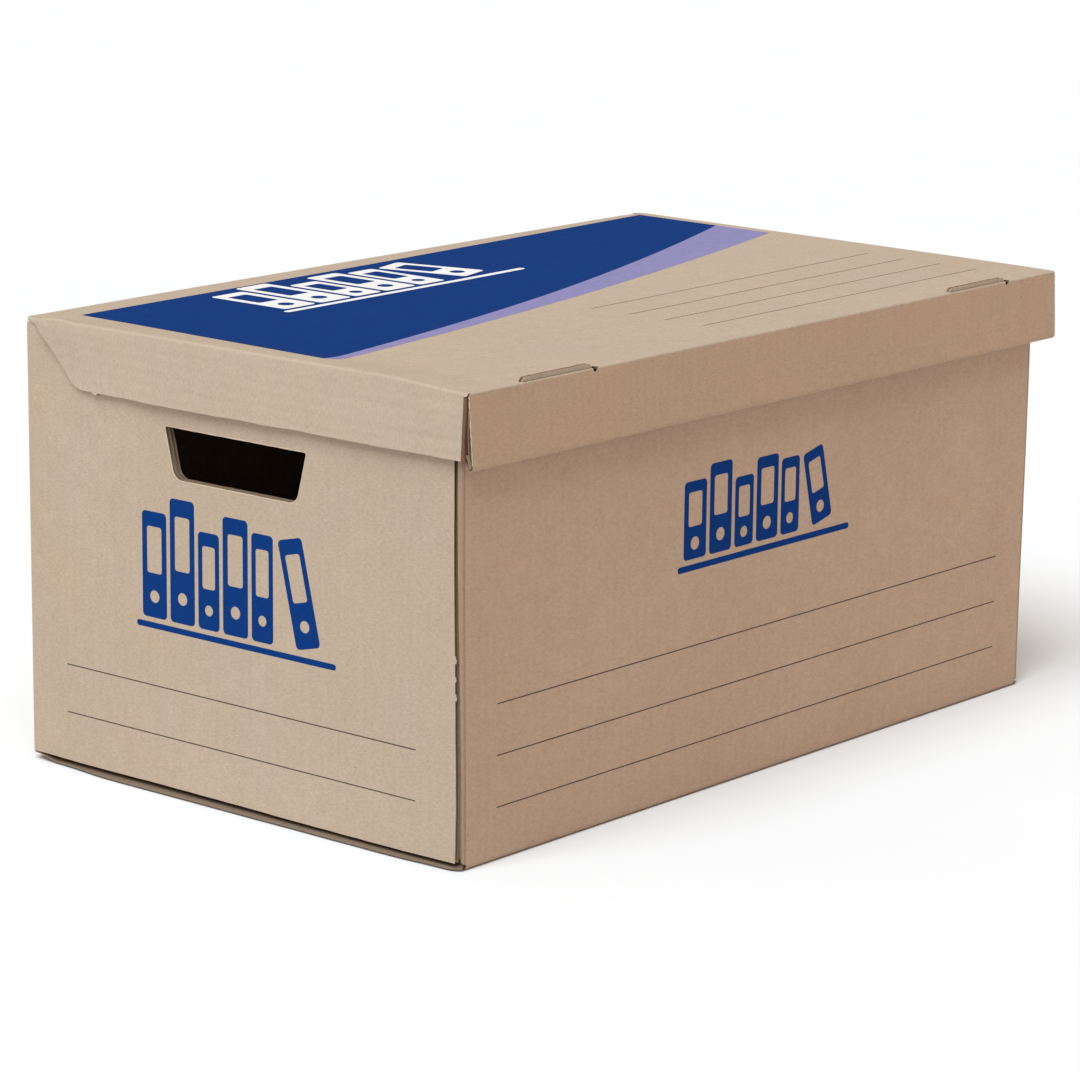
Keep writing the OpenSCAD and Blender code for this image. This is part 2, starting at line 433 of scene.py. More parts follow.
def kraft(name, colour, flutes, wave_axis):
    """Brown paper over flutes that run along one axis and follow each other along another."""
    n = Nodes(name)
    # paper fibres lie mostly across the flutes
    fine = n.stretched([1.0 if axis == flutes else 0.45 for axis in "xyz"])
    blotches = n.noise(95, 4, 0.6)
    fibres = n.noise(950, 3, 0.7, fine)
    grain = n.noise(2600, 2, 0.6)
    ribs = washboard(n, wave_axis)
    tone = n.product((n.noise(9, 3), 0.3, 0.7, 0.972, 1.028), (blotches, 0.25, 0.75, 0.965, 1.035),
                     (fibres, 0.25, 0.75, 0.88, 1.12), (grain, 0.2, 0.8, 0.9, 1.1),
                     (ribs, -1, 1, 0.993, 1.007))
    specks = n.ranged(n.noise(620, 2, 0.5), 0.735, 0.77, 0.0, 0.55)
    pale = n.ranged(n.noise(410, 3, 0.6, fine), 0.72, 0.78, 0.0, 0.3)
    # the paper drifts between a redder and a bluer brown
    drift = n.ranged(n.noise(22, 2), 0.3, 0.7, 0.0, 1.0)
    drift = n.mix(drift, (1.0, 0.985, 0.965, 1), (0.985, 1.0, 1.015, 1))
    base = n.scaled(n.mix(1.0, colour, drift, "MULTIPLY"), tone)
    base = n.mix(specks, base, tuple(c * 0.45 for c in colour[:3]) + (1,))
    base = n.mix(pale, base, tuple(min(c * 1.3, 1) for c in colour[:3]) + (1,))
    normal = n.bump(ribs, 0.000035)
    normal = n.bump(blotches, 0.00035, 0.35, normal)
    normal = n.bump(fibres, 0.00012, 0.55, normal)
    return n.surface(base, n.ranged(n.math("ADD", fibres, blotches), 0.6, 1.4, 0.94, 0.8), 0.16, normal)


def cut_edge(name, colour):
    """The torn, fibrous paper that a cut edge shows."""
    n = Nodes(name)
    rough = n.noise(1500, 4, 0.7)
    tone = n.product((rough, 0.25, 0.75, 0.82, 1.15), (n.noise(420, 3, 0.6), 0.3, 0.7, 0.9, 1.1))
    roughness = n.ranged(rough, 0.3, 0.7, 0.98, 0.86)
    return n.surface(n.scaled(colour, tone), roughness, 0.2, n.bump(rough, 0.0003, 0.8))


def ink(name, colour, under, wear):
    """Flat printing ink on the liner: the paper's fibres show through it, and it is thin on their tops."""
    n = Nodes(name)
    fibres = n.noise(950, 3, 0.7)
    tone = n.product((n.noise(120, 4, 0.6), 0.25, 0.75, 0.93, 1.07), (fibres, 0.2, 0.8, 0.9, 1.1))
    thin = n.ranged(n.noise(780, 3, 0.65), 0.66, 0.82, 0.0, wear)
    base = n.mix(thin, n.scaled(colour, tone), under)
    return n.surface(base, n.ranged(fibres, 0.3, 0.7, 0.9, 0.78), 0.04, n.bump(fibres, 0.0001, 0.5))


def make_materials():
    """The inks, and for each sort of board its outer face, its inner face and its cut edge. The boards are
    all one kraft: the darker, warmer sorts are painted shade.
    """
    # liner is the kraft where the light falls; warm is painted shade on it, darker and redder, for the walls
    # facing front and back and the lid's inner flap; shaded is painted shade a little darker, for the end
    # walls
    liner, warm, shaded = (0.452, 0.364, 0.282, 1), (0.45, 0.315, 0.228, 1), (0.432, 0.344, 0.264, 1)
    # the cut edge's dark brown is partly the paper's own colour and partly painted shade in the hollow groove
    cut = cut_edge("kraft_cut_edge", (0.27, 0.195, 0.13, 1))
    # the torn liner's pale tan is partly the paper's own pale fibres and partly a painted highlight on the
    # curled cut edges
    made = {"torn": cut_edge("kraft_torn_liner", (0.56, 0.46, 0.36, 1))}
    # the corner tab's near-black brown, last below, is painted shade of the gap between the lid's front
    # layers
    boards = (("front", warm, "z", "x"), ("end", shaded, "z", "y"), ("base", liner, "y", "x"),
              ("end_flap", liner, "y", "z"), ("tab_shade", (0.15, 0.085, 0.05, 1), "x", "z"))
    for key, colour, flutes, wave_axis in boards:
        inner = kraft("kraft_inner_" + key, (0.40, 0.315, 0.235, 1), flutes, wave_axis)
        made[key] = [kraft("kraft_" + key, colour, flutes, wave_axis), inner, cut]
    front, end = made["front"], made["end"]
    # the inner end panel's outer face shows only as the crease at the front corner: its darker kraft is
    # painted shade there
    made["rubbed"] = [kraft("kraft_rubbed", (0.33, 0.225, 0.155, 1), "z", "y"), *end[1:]]
    # the lid's roll-over front is painted shade: the front's painted shade made a little darker still
    made["rolled"] = [kraft("kraft_rolled", (0.425, 0.293, 0.2, 1), "z", "x"), *front[1:]]
    # the base flap's near-black brown is painted shade of its nose in the recess under the end wall
    made["scuffed"] = [kraft("kraft_scuffed", (0.2, 0.145, 0.105, 1), "z", "y"), *end[1:]]
    # the lock tabs take the front's painted shade, on their cut edges as well
    made["lock"] = [front[0], front[1], front[0]]
    made["blue"] = ink("ink_blue", (0.003, 0.034, 0.168, 1), (0.05, 0.08, 0.2, 1), 0.3)
    made["lilac"] = ink("ink_lilac", (0.235, 0.22, 0.42, 1), (0.33, 0.28, 0.34, 1), 0.3)
    made["dark"] = ink("ink_dark", (0.075, 0.058, 0.047, 1), liner, 0.4)
    made["white"] = ink("ink_white", (0.76, 0.76, 0.77, 1), (0.4, 0.45, 0.6, 1), 0.2)
    return made


# ---- Body ----

HALF_L, HALF_D = 260.0, 162.5
WALL_TOP, HINGE_Z = 252.7, 250.5
HOLE_W, HOLE_TOP, HOLE_H, HOLE_TAPER, HOLE_R = 105.0, 208.0, 28.5, 7.0, 7.0
LEAD = 1.0           # how far a bent crease runs on into the flat board beside it
FOOT_R, FRONT_R, BACK_R = 2.6, 1.3, 2.4      # outside radius of the bottom, front and back creases
BACK_BEND = bend(BACK_R, 90)[0]


def hole_loop(middle, grow=0.0):
    """The hand hole: a straight top, sides that draw in, and rounded lower corners."""
    half = HOLE_W / 2
    tilt = math.degrees(math.atan(HOLE_TAPER / HOLE_H))
    slant = math.hypot(HOLE_TAPER, HOLE_H)
    foot = half - HOLE_TAPER - HOLE_R * (slant - HOLE_TAPER) / HOLE_H
    low = HOLE_TOP - HOLE_H + HOLE_R
    loop = arc(-foot, low, HOLE_R, 180 + tilt, 270, 8) + arc(foot, low, HOLE_R, 270, 360 - tilt, 8)
    loop += arc(half - 1.1, HOLE_TOP - 1, 1, 0, 90, 3) + arc(1.1 - half, HOLE_TOP - 1, 1, 90, 180, 3)
    loop = [(u + middle, v) for u, v in loop]
    return grown(loop, grow) if grow else loop


def near_edge(z):
    """Where the outer end panel's raw front edge lies: it stands back a little more towards the top."""
    return 2.6 * smooth(z / 200) - 159.5


def corner_step(z):
    """How far the front crease stands out from the inner end panel, to lie flush with the outer one."""
    return 0.8 + 2.2 * smooth(z / 200)


def end_u(y):
    """How far round the outer end panel a place at depth y lies."""
    return LEAD + BACK_BEND + HALF_D - BACK_R - y


def long_wall(top, half_l, foot_l, back):
    """A long wall, u along X and v down its outer face, with the crease that turns it under the box."""
    low, turn = top - FOOT_R, bend(FOOT_R, 90)
    at, marks = path(-HALF_D, top, 270, (low, 0), turn)
    foot = low + turn[0]
    corner = [(half_l, low - 0.6)]
    if back:
        corner = [(half_l, low - 7), (half_l - 2.5, low - 3.4), (half_l - 7, low - 1)]
    outline = [(-half_l, 0), (half_l, 0), *corner, (foot_l, low), (foot_l, foot),
               (-foot_l, foot), (-foot_l, low), *[(-u, v) for u, v in reversed(corner)]]
    way = -1 if back else 1

    def place(u, v, w):
        y, z = at(v, w)
        out = 0 if back else corner_step(z) * smooth((abs(u) - 230) / (half_l - 230))
        return u + math.copysign(out, u), y * way, z

    cut = ragged(outline, 11 + back, (("u", half_l), ("u", -half_l), ("v", foot)))
    us, vs = steps(-half_l, half_l, 32), marks + steps(0, low, 32)
    return board_shape(cut, place, (), outline, us, vs, pinched(1, low, foot, 2.2)), place


def base_board():
    """The single layer that the box stands on."""
    side = HALF_D - FOOT_R
    outline = rectangle(-252, -side, 252, side)
    return board_shape(outline, lambda u, v, w: (u, v, w), us=steps(-252, 252, 42), vs=steps(-side, side, 40))


def outer_end():
    """u runs from the back wall round the crease and on to the raw front edge, and v is the height."""
    start, turn, flat = -HALF_L + BACK_R + LEAD, bend(BACK_R, 90), HALF_D - BACK_R + 160
    at, marks = path(start, HALF_D, 180, (LEAD, 0), turn, (flat, 0))
    nicks = []
    for z, size in ((94, 1.9), (103.5, 1.5), (114, 2.1)):
        nicks += [(0, z - size * 1.2), (0.5 * size, z - size), (0.62 * size, z - size * 0.1),
                  (0.3 * size, z + size * 0.3), (0.42 * size, z + size * 0.6), (0, z + size)]
    raw_foot = ((136, 4.7), (67, 5.2), (13, 5.0), (-48, 4.5), (-106, 4.3))
    foot = [(0, 4.7)] + [(end_u(y), z) for y, z in raw_foot]

    def edge(points):
        return [(end_u(near_edge(z)) + d, z) for d, z in points]

    low, high = [(0, z) for z in (4.4, 30, 60, 85)], [(0, z) for z in (130, 150, 175, 200, WALL_TOP)]
    outline = foot + edge(low + nicks + high) + [(0, WALL_TOP)]
    plain = foot + edge(low + high) + [(0, WALL_TOP)]
    hole = ragged(hole_loop(end_u(0)), 5, step=5, amount=0.12)

    def place(u, v, w):
        x, y = at(u, w)
        near_top = smooth((v - 215) / 35)
        # the raw lower edge bellies out between the corners, and the top dips beside the hinge
        belly = 1.9 * smooth((156 - y) / 60) * (0.5 + 0.5 * smooth((y + 160) / 40))
        dip = 0.8 * smooth((y - 60) / 80) * (1 - 0.8 * smooth((y - 146) / 8)) * near_top
        # its last corner is clear of the lid when that is swung right over
        dip += 1.1 * max(y - 160.8, 0) * near_top
        return x - belly * smooth((45 - v) / 45) ** 1.5, y, v - dip

    cut = ragged(outline, 21, (("u", 0),))
    us, vs = marks + steps(10, end_u(-156), 30), [18, 32] + steps(50, WALL_TOP, 30)
    return board_shape(cut, place, [hole], plain, us, vs, pinched(0, LEAD, LEAD + BACK_BEND, 2.0)), place


def inner_end():
    """u runs from the back, inside the outer panel, to the front crease, and v is the height."""
    turn, corner = 158.2 + HALF_D - FRONT_R, bend(FRONT_R, 90)
    at, marks = path(-HALF_L + 3, 158.2, 270, (turn, 0), corner, (LEAD, 0))
    end = turn + corner[0] + LEAD
    outline = [(0, 11), (turn - 9, 11), (turn - 7.5, 6.6), (turn - 1, 6.2), (turn - 0.6, 4.4), (end - 1, 3.4),
               (end, 3.4), (end, WALL_TOP), (0, WALL_TOP)]
    hole = ragged(hole_loop(158.2, 0.15), 6, step=5, amount=0.12)

    def place(u, v, w):
        x, y = at(u, w)
        out = corner_step(v) * smooth((near_edge(v) - y) / 2.6)
        dip = 0.8 * smooth((y - 60) / 90) * smooth((v - 215) / 35)
        return x - out, y, v - dip

    cut = ragged(outline, 23, (("u", end),))
    us = marks + steps(0, turn, 30) + steps(turn - 6, turn, 0.8)
    return board_shape(cut, place, [hole], outline, us, steps(11, WALL_TOP, 30),
                       pinched(0, turn, turn + corner[0], 1.25))


def base_flap():
    """From the flap's top inside the end wall, down and out under it in a crushed nose, into the base."""
    neck, hollow, slope, nose, foot = 105.4, bend(1.5, -80), 7.52, bend(0.9, 170), 10.47
    at, marks = path(-HALF_L + 6, 110, 270, (neck, 0), hollow, (slope, 0), nose, (foot, 0))
    tip = neck + hollow[0] + slope
    end = tip + nose[0] + foot
    outline = [(0, -150), (6, -156), (neck - 4, -156), (tip - 5, -158.5), (tip, -162.0), (end - 6, -159.6),
               (end, -158.5), (end, 158.5), (end - 6, 160.5), (tip, 160.8), (tip - 5, 159), (neck - 4, 156),
               (6, 156), (0, 150)]
    rnd = random.Random(31)
    bumps = [(rnd.uniform(-150, 150), rnd.uniform(4, 22), rnd.uniform(-0.3, 0.45)) for _ in range(30)]

    def skins(u, v):
        crush = smooth((u - neck + 2) / 5) * (1 - smooth((u - end + 4) / 3))
        dent = sum(h * math.exp(-((v - y) / r) ** 2) for y, r, h in bumps)
        return crush * max(0.0, 0.1 + dent * 0.22), BOARD - 2.1 * crush

    def place(u, v, w):
        x, z = at(u, w)
        # the nose draws in towards both corners, and towards the back one it thins and lifts off the floor
        there = smooth((u - neck) / 5) * (1 - smooth((u - end + 4) / 4))
        thin = 1 - 0.45 * smooth((v - 128) / 30) * there
        pull = 3.3 * smooth((v - 96) / 48) + 1.9 * smooth((-v - 112) / 40) + 3.2 * smooth((-v - 154) / 7) ** 2
        return x + pull * there, v, z * thin + 3.5 * smooth((v - 142) / 18) * there

    cut = ragged(outline, 33, (("u", end),))
    core = rectangle(0, -152, neck + 2, 152)
    us = marks + steps(0, 99, 25) + steps(tip - slope, tip, 1.6)
    return board_shape(cut, place, core=core, us=us, vs=steps(-162, 161, 5), skins=skins)


def handle_flap():
    """The piece pushed out of the inner hand hole and folded up inside."""
    outline = [(u, 2 * HOLE_TOP - v) for u, v in hole_loop(0, -1.15)][::-1]
    cut = ragged(outline, 41, step=5, amount=0.12)
    us, vs = steps(-50, 50, 25), [HOLE_TOP + 8, HOLE_TOP + 20]
    return board_shape(cut, lambda u, v, w: (-HALF_L + 9.3 - w, u, v), (), outline, us, vs)


def liner_tongue():
    """The inner liner, bent round the hand hole's upper edge, that joins the pushed-in flap to the wall."""
    x0, r = -HALF_L + 6.15, 1.25
    angles = [math.radians(a) for a in (78, 62, 46, 30, 16, 4)]
    rnd = random.Random(43)
    rows = []
    for y in steps(-49, 49, 3.5):
        size = r + rnd.uniform(-0.08, 0.08)
        outer = [(x0 + size * (1 - math.cos(a)) * 0.35, HOLE_TOP + 0.1 + size * math.sin(a)) for a in angles]
        rows.append([(x, y, z) for x, z in outer] + [(x + 0.3, y, z) for x, z in reversed(outer)])
    return tube(rows, INSIDE)


def lip(place, points, sides, seed, sizes, depth=-0.02, closed=False):
    """The pale torn paper that curls along a cut edge, its paleness partly a painted highlight: points on the
    edge, and which way is out at each.
    """
    rnd = random.Random(seed)
    rows = []
    for (u, v), (du, dv) in zip(points, sides):
        size = rnd.uniform(*sizes)
        ring = []
        for i in range(6):
            t = math.radians(60 * i)
            out = size * 1.2 * math.cos(t) + 0.15
            ring.append(place(u + du * out, v + dv * out, size * 0.55 * math.sin(t) + depth))
        rows.append(ring)
    return tube(rows, closed=closed)


def hole_lip(place):
    """The hand hole's cut edge curls out a hair all round."""
    loop = hole_loop(end_u(0), 0.25)
    points = []
    for a, b in zip(loop, loop[1:] + loop[:1]):
        n = max(1, round(math.dist(a, b) / 2.5))
        points += [(a[0] + (b[0] - a[0]) * i / n, a[1] + (b[1] - a[1]) * i / n) for i in range(n)]
    middle = HOLE_TOP - HOLE_H / 2
    sides = [Vector((u - end_u(0), (v - middle) * 3)).normalized() for u, v in points]
    return lip(place, points, sides, 47, (0.2, 0.42), closed=True)


def front_edge_lip(place):
    """The outer end panel's raw front edge."""
    points = [(end_u(near_edge(z)) - 0.7, z) for z in steps(4.8, WALL_TOP - 1, 2.3)]
    return lip(place, points, [(1, 0)] * len(points), 48, (0.2, 0.42), 0.2)


def build_end(side, outer, outer_place, mats):
    """One end: its doubled wall, its base flap and its handle flap."""
    def add(name, shape, materials, node="", *more):
        nodes = [f"{side}_{node}"] if node else ()
        add_piece(f"{side}_{name}", for_side(side, shape), materials, nodes, *more)

    add("end_outer_board", outer, mats["end"], "outer_end_panel")
    add("end_inner_board", inner_end(), mats["rubbed"], "inner_end_panel")
    add("base_flap_board", base_flap(), mats["scuffed"], "base_flap")
    on_handle = side + "_handle", "kraft_inside"
    add("handle_flap_board", handle_flap(), mats["end"], "handle_flap", *on_handle)
    add("handle_liner", liner_tongue(), [mats["end"][1]] * 2, "", *on_handle)
    add("hand_hole_lip", hole_lip(outer_place), [mats["torn"]])
    add("end_edge_lip", front_edge_lip(outer_place), [mats["torn"]])


def build_body(mats):
    """The box and its two handle flaps. Returns the places on its front and left faces, for the print."""
    front, front_place = long_wall(WALL_TOP, HALF_L - 3 - FRONT_R - LEAD, 254.2, False)
    back, _ = long_wall(HINGE_Z, HALF_L - BACK_R - LEAD, 243, True)
    outer, outer_place = outer_end()
    add_piece("front_wall_board", front, mats["front"], ["front_panel"])
    add_piece("back_wall_board", back, mats["front"], ["back_panel"])
    add_piece("base_board", base_board(), mats["base"], ["base_panel"])
    build_end("left", outer, outer_place, mats)
    build_end("right", outer, outer_place, mats)
    return front_place, outer_place


# ---- Lid ----

LID_SHIFT = 4.0      # the lid fits loosely and sits a little towards the right
LID_OUT = 268.5      # half the lid's outer length
LID_TOP = 256.0      # height of its top face
LID_FRONT = 170.0    # the lid's front face, at its top
SIDE_R, EDGE_R, TAB_R = 1.6, 0.8, 1.2        # outside radius of the end, front and corner tab creases
HINGE_Y, HINGE_AXIS_Z = 161.0, 254.5
LEAN = 3.34          # degrees by which the lid's front stands out at its foot
SLOT_X, SLOT_L = 192.0, 60.0
FLAP_L = 37.7        # flat length of the roll-over front's outer layer
TOP_BEND = bend(EDGE_R, 90 - LEAN)
FOLD = (bend(2.2, 153.34), (9.5, 0), bend(4, 30))
# places along the roll-over's outer face, counted from the hinge
U_TOP_END = HINGE_Y + LID_FRONT - EDGE_R
U_FLAP = U_TOP_END + TOP_BEND[0] + 0.3       # the top's own board ends a hair past the crease
U_FOLD = U_TOP_END + TOP_BEND[0] + FLAP_L - LEAD
U_INNER = U_FOLD + 2 * LEAD + sum(leg[0] for leg in FOLD)
SEAM_X = LID_OUT - SIDE_R - LEAD
TAB_SLANT = 1.6      # how much further back the corner tab's crease lies at its foot
FLAP_FOOT = 220.0    # height of the end flaps' free edge
FLAP_ROWS = steps(-169, 160, 6)


def settled(x, y, z, right):
    """The lid as it lies: a little twisted, its back corners drawn in, the left one swollen."""
    edge = smooth(1 - (LID_OUT - abs(x)) / 13)
    held = 1.0 if right else 0.45
    back = min(max((y + LID_FRONT) / (HINGE_Y + LID_FRONT), 0), 1)
    # beside the hinge the lift fades, so that the lid is clear of the back wall when it is swung over
    slack = 1 - held * smooth((y - 151.8) / 5.2)
    if right:
        lift = 2.4 * abs(x) / LID_OUT * back ** 0.6 * slack
    else:
        rim = smooth(1 - (LID_OUT - abs(x)) / 36) * smooth((y + 170) / 60) * smooth((150 - y) / 50)
        lift = 2.5 * rim - abs(x) / LID_OUT * back * slack
        lift += 2.6 * edge * math.exp(-((y - 136) / 15) ** 2)
    pull = 4.4 * edge * smooth((y - 144) / 16)
    # the skirt takes the lift in over its height, so that its lower edge stays where it is
    return x - math.copysign(pull, x), y, z + lift * smooth((z - 226) / 22)


def roll_over():
    """From the hinge over the top, down the leaning front, round the fold and up again."""
    at, marks = path(HINGE_Y, LID_TOP, 180, (U_TOP_END, 0), TOP_BEND, (FLAP_L, 0), *FOLD, (24, 0))

    def place(u, v, w):
        y, z = at(v, w)
        # beyond the end creases the front crease drops with them
        past = min(max(abs(u - LID_SHIFT) - LID_OUT + SIDE_R, 0), SIDE_R)
        drop = SIDE_R - math.sqrt(SIDE_R * SIDE_R - past * past)
        z -= 0.8 * drop * (1 - smooth((v - U_TOP_END - 1) / 7))
        x, y, z = settled(u - LID_SHIFT, y, z, u > LID_SHIFT)
        return x + LID_SHIFT, y, z

    return place, marks


def lid_grid():
    """Grid lines that the lid's top, its end flaps and its print share, so that they bend alike."""
    left, right = LID_SHIFT - SEAM_X, LID_SHIFT + SEAM_X
    us = steps(left, left + 39, 3) + steps(left + 39, right - 10, 32)[1:] + steps(right - 10, right, 2.5)[1:]
    return us, [HINGE_Y - y for y in FLAP_ROWS]


def lock_slot(x):
    """The slot in the front crease that a lock tab stands up through, its right end torn a little wider."""
    a, b = x - SLOT_L / 2 + 1.7, x + SLOT_L / 2 - 1.2
    return ([(a, 327.1), (b - 2, 327.1)] + arc(b, 329.9, 2.6, -100, 120, 10)
            + [(b - 2.6, 330.6)] + arc(a, 328.85, 1.75, 90, 270, 6)[:-1])


def lid_top(place, marks):
    """The lid's flat top and the front crease with its two slots. All its edges meet other pieces."""
    left, right = LID_SHIFT - SEAM_X, LID_SHIFT + SEAM_X
    out = LID_OUT - 1 - SEAM_X
    edge = [(0, 0), (0, U_TOP_END - 0.2), (out * 0.7, U_TOP_END + 0.5), (out, U_TOP_END + 1.2), (out, U_FLAP)]
    outline = [(left, 0)] + [(right + d, v) for d, v in edge] + [(left - d, v) for d, v in edge[:0:-1]]
    slots = [lock_slot(-SLOT_X), lock_slot(SLOT_X)]
    us, vs = lid_grid()
    us += [left - 1, left - 2, right + 1, right + 2]
    return board_shape(outline, place, slots, None, us, marks + vs + [2.5, 4.5],
                       pinched(1, U_TOP_END, U_FLAP, 0.78, 5, 24))


def front_strip(place, marks, v0, v1, inset, seed, open_end=False):
    """A stretch of the roll-over front, thin where it hangs from the top crease and where it is folded."""
    left, right = 1 - LID_OUT + LID_SHIFT, LID_OUT - 1 + LID_SHIFT
    ends = [(right - inset[0], v0), (right - inset[1], v1), (left + inset[1], v1)]
    plain = [(left + inset[0], v0), *ends]
    outline = plain[:1]
    if v0 == U_FLAP:
        # the torn end of each slot runs a little way down the front
        for x in (-SLOT_X, SLOT_X):
            b = x + SLOT_L / 2 - 1.2
            outline += [(b - 2, v0), (b - 1.3, v0 + 1.1), (b + 0.9, v0 + 1.3), (b + 1.9, v0)]
    outline += ends
    keep = [("v", v0)] + ([] if open_end else [("v", v1)])
    at_top = pinched(1, U_TOP_END, U_FLAP, 0.78, 5, 24)
    at_fold = pinched(1, U_FOLD + LEAD, U_FOLD + LEAD + FOLD[0][0], 1.7, 5, 5)

    def skins(u, v):
        return 0.0, min(at_top(u, v)[1], at_fold(u, v)[1])

    rows = [m for m in marks if v0 < m < v1] + steps(v0, v1, 4)
    cut = ragged(outline, seed, keep)
    return board_shape(cut, place, core=plain, us=steps(left, right, 33), vs=rows, skins=skins)


def end_flap(right):
    """One of the lid's end flaps, shaped as the left one, u down its outer face and v along Y, with the
    relief cut beside the hinge."""
    turn_leg = bend(SIDE_R, 90)
    top = LEAD + turn_leg[0]
    low = top + LID_TOP - SIDE_R - FLAP_FOOT
    at, marks = path(-SEAM_X, LID_TOP, 180, (LEAD, 0), turn_leg, (low - top, 0))
    slope, r = 48.0, 14.0
    front = -LID_FRONT + 1.1 + TAB_R
    turn = 149.5 - 32 / math.tan(math.radians(slope))
    sweep = arc(turn - r * math.tan(math.radians(slope / 2)), FLAP_FOOT + r, r, 270, 270 + slope, 8)
    fillet = [(low - (v - FLAP_FOOT), y) for y, v in sweep]
    nick = [(low, 101.6), (low + 0.5, 102.8), (low + 1.7, 103.6), (low + 0.9, 104.6), (low + 1.5, 105.8),
            (low, 107)]
    back = [(top + 2.2, 150.5), (top + 1.4, 153.5), (top + 1.1, 160.4), (0, 160.4)]
    plain = [(0, front + 1.2), (top, front), (low, front + TAB_SLANT), *fillet, *back]
    outline = [(0, -169.0), (1.5, -169.3), (top, -169.0), (top + 0.6, front + LEAD),
               (low - 1.2, front + TAB_SLANT + LEAD), (low, front + TAB_SLANT + 1.4), *nick, *fillet, *back]
    rnd = random.Random(67)
    waves = [(rnd.uniform(-160, 140), rnd.uniform(8, 30), rnd.uniform(-0.35, 0.35)) for _ in range(18)]
    # shallow dents beside the front corner, each as (down, along Y, reach along Y, depth, slope)
    dents = [(7.5, -146, 40, 0.3, 0.03), (18, -126, 30, 0.26, -0.07), (28, -150, 36, 0.4, 0.09)]

    def dented(u, v):
        return sum(d * math.exp(-((u - s - (v - y) * k) / 2.8) ** 2 - ((v - y) / q) ** 2)
                   for s, y, q, d, k in dents)

    def place(u, v, w):
        x, z = at(u, w)
        # towards the back the flap is pressed against the box, and its free edge waves a little
        down = smooth((u - 5) / 28)
        pull = 3.2 * smooth((v - 50) / 110) * down
        wave = sum(h * math.exp(-((v - y) / q) ** 2) for y, q, h in waves) * down
        return settled(x + pull + max(wave, 0) * 0.8 + dented(u, v), v, z + wave * 0.5, right)

    cut = ragged(outline, 61, (("u", 0),), amount=0.16)
    return board_shape(cut, place, core=plain, us=marks + steps(top, low, 2), vs=FLAP_ROWS,
                       skins=pinched(0, LEAD, top, 1.5))


def open_end_lip(place, right):
    """The raw end of the roll-over front, beside the lid's corner."""
    way = 1 if right else -1
    edge = LID_SHIFT + way * (LID_OUT - 1)
    rows = steps(U_FLAP + 0.5, U_FOLD, 1.7)
    points = [(edge - way * 0.7 * (v - U_FLAP) / (U_FOLD - U_FLAP), v) for v in rows]
    return lip(place, points, [(way, 0)] * len(points), 58 + right, (0.22, 0.55), 0.3)


def corner_tab():
    """Turns off the end flap's front edge and is pressed between the two layers of the roll-over front."""
    turn_leg = bend(TAB_R, 90)
    start = -LID_FRONT + 1.1 + TAB_R + LEAD
    at, marks = path(-LID_OUT, start, 270, (LEAD, 0), turn_leg, (70, 0))
    end = LEAD + turn_leg[0] + 70
    low, high = 221.0, 253.7
    outline = [(low, 0), (low + 1.5, end - 6), (low + 6, end),
               (high - 5, end), (high - 1, end - 6), (high, 0)]

    def skins(u, v):
        # its outer face keeps behind the leaning front layer, and it is crushed where it turns
        bent = smooth((v - LEAD) / turn_leg[0])
        flap = 168.7 - 1.6 * smooth((252 - u) / 24) + 2.2 * (254.4 - u) / 37.6
        squeeze = max(0.0, 169.05 - flap) * bent
        free = max(1 - smooth(v / LEAD), smooth((v - LEAD - turn_leg[0]) / 3))
        return squeeze, max(1.1 + (BOARD - 1.1) * free, squeeze + 0.9)

    def place(u, v, w):
        x, y = at(v, w)
        slant = TAB_SLANT * (252.8 - u) / 32 * (1 - smooth((v - 3) / 14))
        return x, y + slant, u

    cut = ragged(outline, 71, (("v", 0),))
    us, vs = steps(low, high, 5), marks + steps(8, end, 16)
    return board_shape(cut, place, core=outline, us=us, vs=vs, skins=skins)


def lock_tab(x):
    """Leans forward off the inner flap's top edge and stands up through its slot."""
    root, lean, rise, stand = 0.5, bend(4, 40), 2.54, 5.55
    at, marks = path(-162.8, 245.2, 90, (root, 0), lean, (rise, 0), bend(4, -40), (stand, 0))
    end = root + 2 * lean[0] + rise + stand
    left, right = x - SLOT_L / 2 + 0.3, x + SLOT_L / 2 - 3.4
    r = 3.0
    outline = [(left, 0), (right, 0)] + arc(right - r, end - r, r, 0, 90) + arc(left + r, end - r, r, 90, 180)
    phase = random.Random(int(x) + 500).uniform(0, PITCH)

    def skins(u, v):
        return 0.0, BOARD - 0.15 - 0.75 * (1 - smooth((v - 4) / 5))

    cut = ragged(outline, int(x) + 300, step=4)
    us = steps(left, right, 12)
    return board_shape(cut, lambda u, v, w: (u, *at(v, w)), (), outline, us, marks, skins, phase)


def hinge_bead():
    """The crushed strip of board that the lid bends round: a rounded end on the back wall's top."""
    rnd = random.Random(81)
    section = [(HINGE_Y - 1.45, HINGE_Z), (HINGE_Y - 1.45, HINGE_AXIS_Z)]
    section += arc(HINGE_Y, HINGE_AXIS_Z, 1.47, 180, 0, 10)[1:] + [(HINGE_Y + 1.5, HINGE_Z)]
    rows = []
    for x in steps(-255.3, 255.3, 3.2):
        d = [rnd.uniform(-0.05, 0.0) for _ in section]
        low = -0.5 * smooth((-x - 120) / 140)
        rows.append([(x, y + (e if y > HINGE_Y else -e), z + (e + low if z > HINGE_AXIS_Z else 0))
                     for (y, z), e in zip(section, d)])
    return tube(rows)


